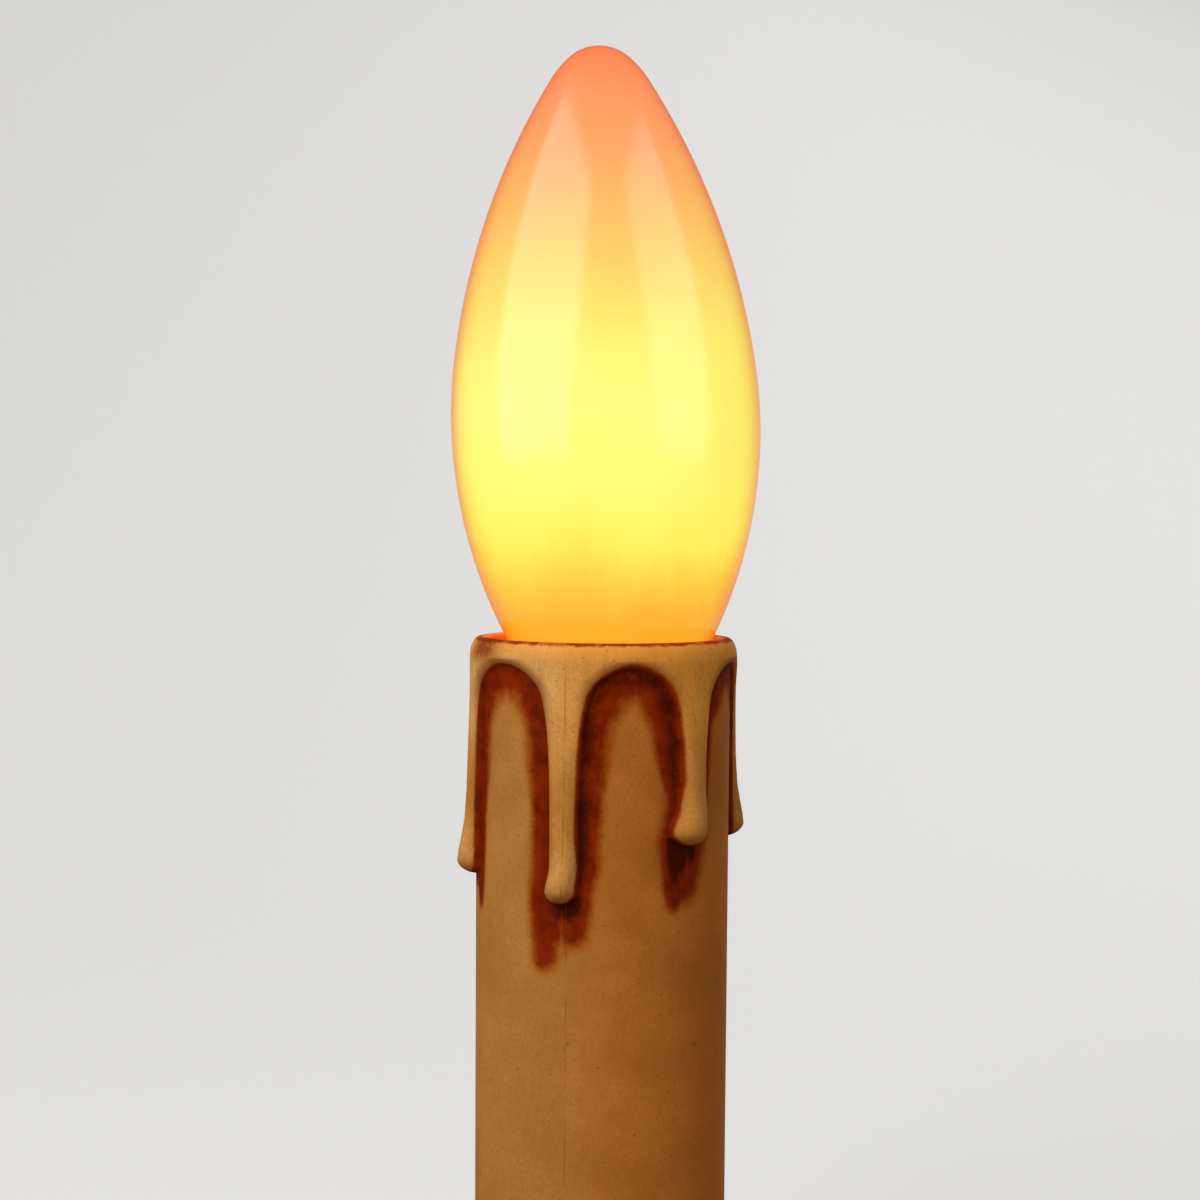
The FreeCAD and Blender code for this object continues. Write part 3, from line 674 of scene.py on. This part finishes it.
def wax_material():
    """Cream plastic tinted like old wax, with brown stain rubbed into the corners beside the runs."""
    s = Shader("antiqued_wax")
    x, y, z = s.axes()
    angle = s.math("ARCTAN2", x, s.times(y, -1.0))
    radius = s.math("SQRT", s.plus(s.times(x, x), s.times(y, y)))
    cloud = s.noise(0.10, 4)
    grain = s.noise(2.6, 3, 0.7)
    blotch = s.noise(0.45, 5, 0.65)
    sponge = s.noise(1.9, 4, 0.75)
    colour = bare_wax(s, x, z, s.span(cloud, *cloud_span))
    colour = s.mix(s.span(grain, *grain_span), colour, grain_colour)
    # Painted shade on the wax's edges and on the beads' undersides
    painted_shade = s.times(s.attribute("painted_shade"), s.span(cloud, 0.2, 0.6, 0.7, 1.0))
    colour = s.mix(s.span(painted_shade, *shade_span), colour, shade_colour)
    colour = stained(s, colour, angle, blotch, sponge)
    colour = rimmed(s, colour, angle, radius, z, sponge)

    # Where the two halves of the mould met, and fine dirt
    unworn = s.span(s.noise(0.35, 4, 0.7, seam_lumps), 0.38, 0.62)
    seam = s.times(s.span(s.away(angle, seam_angle), *seam_span), unworn)
    colour = s.mix_part(0.45, seam, colour, seam_colour)
    dots = s.span(s.noise(1.7, 2, 0.5), *dot_span)
    colour = s.mix_part(0.5, dots, colour, dot_colour)
    s.set(Base_Color=colour, Roughness=s.span(cloud, 0.3, 0.7, 0.5, 0.6), Specular_IOR_Level=0.01)
    fine = s.plus(s.times(grain, 0.5), s.times(seam, -0.6))
    s.set(Normal=s.bump(s.plus(fine, s.times(cloud, 1.5)), distance=0.05, strength=0.6))
    return s.material


def bare_wax(s, x, z, uneven):
    """The tube's colour and the wax's. Both are paler on the left, a painted sheen, and browner on the
    right, painted shade; the wax is browner lower down too.
    """
    right = s.span(x, *lit_to_shaded_span)
    tube = s.mix(right, s.mix(uneven, *tube_lit_left), s.mix(uneven, *tube_shaded_right))
    wax = s.mix(right, s.mix(uneven, *wax_lit_left), s.mix(uneven, *wax_shaded_right))
    wax = s.mix(s.below_rim(z, *low_span), wax, s.mix(uneven, *wax_low))
    # A painted highlight on each bead's upper half, strongest at the left
    bead_highlight = s.times(s.attribute("bead_highlight"), s.span(x, *highlight_span))
    wax = s.mix(bead_highlight, wax, highlight_colour)
    streaks = s.noise(0.9, 4, 0.65, down_streaks)
    wax = s.mix(s.span(streaks, *streak_span), wax, streak_colour)
    return s.mix(s.span(s.attribute("outside"), *wax_span), tube, wax)


def stained(s, colour, angle, blotch, sponge):
    """Adds the stain. It was sponged on, so it breaks up into grains where it thins out."""
    stain = s.attribute("stain")
    broken = s.plus(s.swing(blotch, blotch_amount), s.swing(sponge, sponge_amount))
    amount = s.plus(stain, s.times(broken, s.span(stain, 0.0, 0.3)))
    colour = s.mix(s.span(amount, *thin_span), colour, thin_stain)
    warm = s.mix(s.span(blotch, 0.4, 0.7), *warm_stain)
    colour = s.mix(s.span(amount, *warm_span), colour, warm)
    # The darkest tone, partly painted shade, is held back in the bay between the first two runs as painted
    # light
    outside_lit_bay = s.span(s.away(angle, lit_bay_angle), *lit_bay_span)
    return s.mix(s.times(s.span(amount, *dark_span), outside_lit_bay), colour, dark_stain_and_shade)


def rimmed(s, colour, angle, radius, z, sponge):
    """Adds the lamp's glow near the rim and in the bore, and ragged brown along the rim's outer edge."""
    edge = s.plus(z, s.swing(s.noise(0.9, 5, 0.8), raggedness))
    colour = s.mix(s.below_rim(z, *rim_glow_span), colour, rim_glow)
    bore = s.times(s.span(radius, *bore_span), s.below_rim(z, *bore_glow_span))
    colour = s.mix_part(0.9, bore, colour, bore_glow)
    line = s.times(s.below_rim(edge, *rim_line_span), s.span(radius, *outer_span))
    worn = s.span(s.noise(0.35, 3, 0.7, rim_streaks), *worn_span)
    colour = s.mix(s.times(line, worn), colour, rim_line)
    patch = s.times(s.span(s.away(angle, patch_angle), *patch_span), s.below_rim(edge, *patch_depths))
    return s.mix_part(0.9, s.times(patch, s.span(sponge, 0.2, 0.5)), colour, rim_patch)


def glass_material():
    """Opal glass, lit from inside: salmon at the tip, bright yellow at the belly, gold at the neck."""
    s = Shader("lit_opal_glass")
    x, y, z = s.axes()
    drift = s.swing(s.noise(0.05, 3), 0.005)
    streaks = s.swing(s.noise(0.16, 4, 0.6, down_streaks), 0.007)
    low = s.below_rim(z, -12, -34, 1.0, 0.25)
    height = s.plus(z, s.plus(drift, s.times(streaks, low)))
    level = s.math("DIVIDE", s.minus(height, rim_z * MM), (bulb_tip_z - rim_z) * MM)
    light = s.ramp(level, glow_stops)
    belly = s.times(s.span(level, *belly_rise), s.span(level, *belly_fall))
    golden = s.times(s.span(x, *golden_span), belly)
    light = s.mix_part(golden_share, golden, light, golden_colour)
    facing = s.add("ShaderNodeLayerWeight")
    facing.inputs["Blend"].default_value = 0.5
    limb = s.span(facing.outputs["Facing"], *limb_span)
    light = s.mix_part(limb_share, limb, light, limb_colour)
    s.set(Base_Color=linear(96, 60, 30), Roughness=0.5, Specular_IOR_Level=0.0)
    s.set(Coat_Weight=0.6, Coat_Roughness=0.17, Coat_IOR=1.5)
    s.set(Emission_Color=light, Emission_Strength=0.97)
    return s.material


def metal_material(name, colour, dark, roughness, lines, tarnish=0.3):
    """Metal with fine rubbed lines, and a darker film in places."""
    s = Shader(name)
    rubbed = s.noise(2.2, 4, 0.6, lines)
    film = s.noise(0.28, 5, 0.6)
    s.set(Base_Color=s.mix_part(tarnish, s.span(film, 0.45, 0.75), colour, dark), Metallic=1.0)
    dull = s.span(film, 0.3, 0.8, roughness, roughness + 0.14)
    s.set(Roughness=s.plus(s.times(rubbed, 0.14), dull))
    s.set(Normal=s.bump(rubbed, distance=0.01, strength=0.5))
    return s.material


def moulded_material(name, colour, fleck):
    """A hard moulding with faint flow marks and a few fine flecks."""
    s = Shader(name)
    flow = s.noise(0.2, 5, 0.65)
    flecks = s.span(s.noise(2.6, 2, 0.5), 0.66, 0.74)
    s.set(Base_Color=s.mix_part(0.6, flecks, colour, fleck))
    s.set(Roughness=s.span(flow, 0.3, 0.7, 0.24, 0.38), Normal=s.bump(flow, distance=0.03, strength=0.35))
    return s.material


def cement_material():
    s = Shader("capping_cement")
    lumps = s.noise(1.1, 6, 0.7)
    shade = s.mix(s.span(lumps, 0.3, 0.75), linear(188, 166, 132), linear(146, 120, 88))
    s.set(Base_Color=shade, Roughness=0.92, Normal=s.bump(lumps, distance=0.15, strength=0.8))
    return s.material


def solder_material():
    s = Shader("dull_solder")
    skin = s.noise(0.9, 5, 0.6)
    shade = s.mix(s.span(skin, 0.35, 0.7), linear(176, 178, 180), linear(122, 124, 128))
    s.set(Base_Color=shade, Metallic=1.0)
    s.set(Roughness=s.span(skin, 0.3, 0.7, 0.3, 0.5), Normal=s.bump(skin, distance=0.06, strength=0.6))
    return s.material


def paper_material():
    """Plain pale paper. The camera sees part of its colour as it is written, and shadows stay."""
    s = Shader("pale_paper")
    fibre = s.noise(0.9, 3, 0.6)
    s.set(Base_Color=linear(196, 195, 193), Roughness=0.95)
    s.set(Normal=s.bump(fibre, distance=0.05, strength=0.2))
    rays = s.add("ShaderNodeLightPath").outputs
    even = s.add("ShaderNodeEmission")
    even.inputs["Color"].default_value = linear(243, 242, 240)
    blend = s.add("ShaderNodeMixShader")
    s.links.new(s.times(rays["Is Camera Ray"], 0.62), blend.inputs["Fac"])
    s.links.new(s.principled.outputs[0], blend.inputs[1])
    s.links.new(even.outputs[0], blend.inputs[2])
    s.links.new(blend.outputs[0], s.nodes["Material Output"].inputs["Surface"])
    return s.material


def dress(material, *names):
    for name in names:
        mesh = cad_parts[name].data
        mesh.materials.clear()
        mesh.materials.append(material)


# The studio

def build_backdrop():
    """A floor that curves up into a wall behind the object. Its sizes are in metres."""
    half_width = 1.6
    floor = (-1.6, -0.4, 0.2)
    wall = 0.9
    bend = 0.5
    top = 1.6
    profile = [(y, 0.0) for y in floor]
    for turn in np.linspace(0, math.pi / 2, 25):
        profile.append((wall - bend + bend * math.sin(turn), bend * (1 - math.cos(turn))))
    profile.append((wall, top))
    vertices = [(x / MM, y / MM, z / MM) for y, z in profile for x in (-half_width, half_width)]
    faces = [(2 * i, 2 * i + 1, 2 * i + 3, 2 * i + 2) for i in range(len(profile) - 1)]
    return mesh_object("backdrop", vertices, faces)


def build_light(name, azimuth, elevation, distance, width, height, power, shades, shines):
    """A soft box that faces the axis at aimed_height."""
    light = bpy.data.lights.new(name, "AREA")
    light.shape = "RECTANGLE"
    light.size = width
    light.size_y = height
    light.energy = power
    turn, tilt = math.radians(azimuth), math.radians(elevation)
    way = Vector((math.sin(turn) * math.cos(tilt), -math.cos(turn) * math.cos(tilt), math.sin(tilt)))
    obj = bpy.data.objects.new(name, light)
    obj.location = Vector((0, 0, aimed_height)) + way * distance
    obj.rotation_euler = (-way).to_track_quat("-Z", "Y").to_euler()
    obj.visible_diffuse = shades
    obj.visible_glossy = shines
    bpy.context.collection.objects.link(obj)


def build_camera():
    data = bpy.data.cameras.new("camera")
    data.sensor_fit = "HORIZONTAL"
    data.sensor_width = sensor_width
    data.lens = sensor_width * camera_distance / view_width
    data.clip_start = 0.01
    camera = bpy.data.objects.new("camera", data)
    tilt = math.radians(camera_elevation)
    back = Vector((0, -math.cos(tilt), math.sin(tilt)))
    camera.location = (aim + back * camera_distance) * MM
    level = (-back).to_track_quat("-Z", "Y").to_matrix()
    camera.rotation_euler = (level @ Matrix.Rotation(math.radians(camera_roll), 3, "Z")).to_euler()
    bpy.context.collection.objects.link(camera)
    bpy.context.scene.camera = camera


def build_world():
    world = bpy.data.worlds.new("studio")
    world.use_nodes = True
    background = world.node_tree.nodes["Background"]
    background.inputs["Color"].default_value = linear(236, 238, 242)
    background.inputs["Strength"].default_value = world_strength
    bpy.context.scene.world = world


build_camera()
build_world()
for soft_box in soft_boxes:
    build_light(*soft_box)

sleeve = build_sleeve()
sleeve.data.materials.append(wax_material())
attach(sleeve, "holder")
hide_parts("drip_sleeve")

glass = build_glass()
glass.data.materials.append(glass_material())
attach(glass, "bulb")
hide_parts("bulb_glass")

nickel = metal_material("nickel_plate", linear(205, 200, 188), linear(150, 138, 118), 0.16, turned_lines)
brass = metal_material("turned_brass", linear(214, 172, 96), linear(138, 96, 44), 0.2, turned_lines)
bronze = metal_material("bronze_strip", linear(196, 136, 84), linear(120, 72, 40), 0.26, drawn_lines)
zinc = metal_material("zinc_sheet", linear(182, 186, 190), linear(128, 132, 138), 0.34, drawn_lines, 0.5)
steel = metal_material("plated_screws", linear(196, 194, 184), linear(140, 134, 118), 0.24, turned_lines)
black_moulding = moulded_material("black_moulding", linear(30, 28, 27), linear(70, 66, 62))
black_glass = moulded_material("black_glass", linear(14, 14, 17), linear(30, 30, 34))
dress(nickel, "cap_shell")
dress(brass, "thread_shell", "thread_bush", "live_terminal", "neutral_terminal")
dress(bronze, "centre_contact", "shell_contact")
dress(zinc, "stirrup")
dress(steel, "stirrup_screw_left", "stirrup_screw_right", "live_terminal_screw", "neutral_terminal_screw")
dress(steel, "barrel_screw_left", "barrel_screw_right", "lock_screw")
dress(black_moulding, "holder_barrel", "contact_base")
dress(black_glass, "cap_insulator")
dress(cement_material(), "capping_cement")
dress(solder_material(), "cap_contact", "side_solder")

backdrop = build_backdrop()
backdrop.data.materials.append(paper_material())

bpy.context.scene.view_settings.view_transform = "Standard"
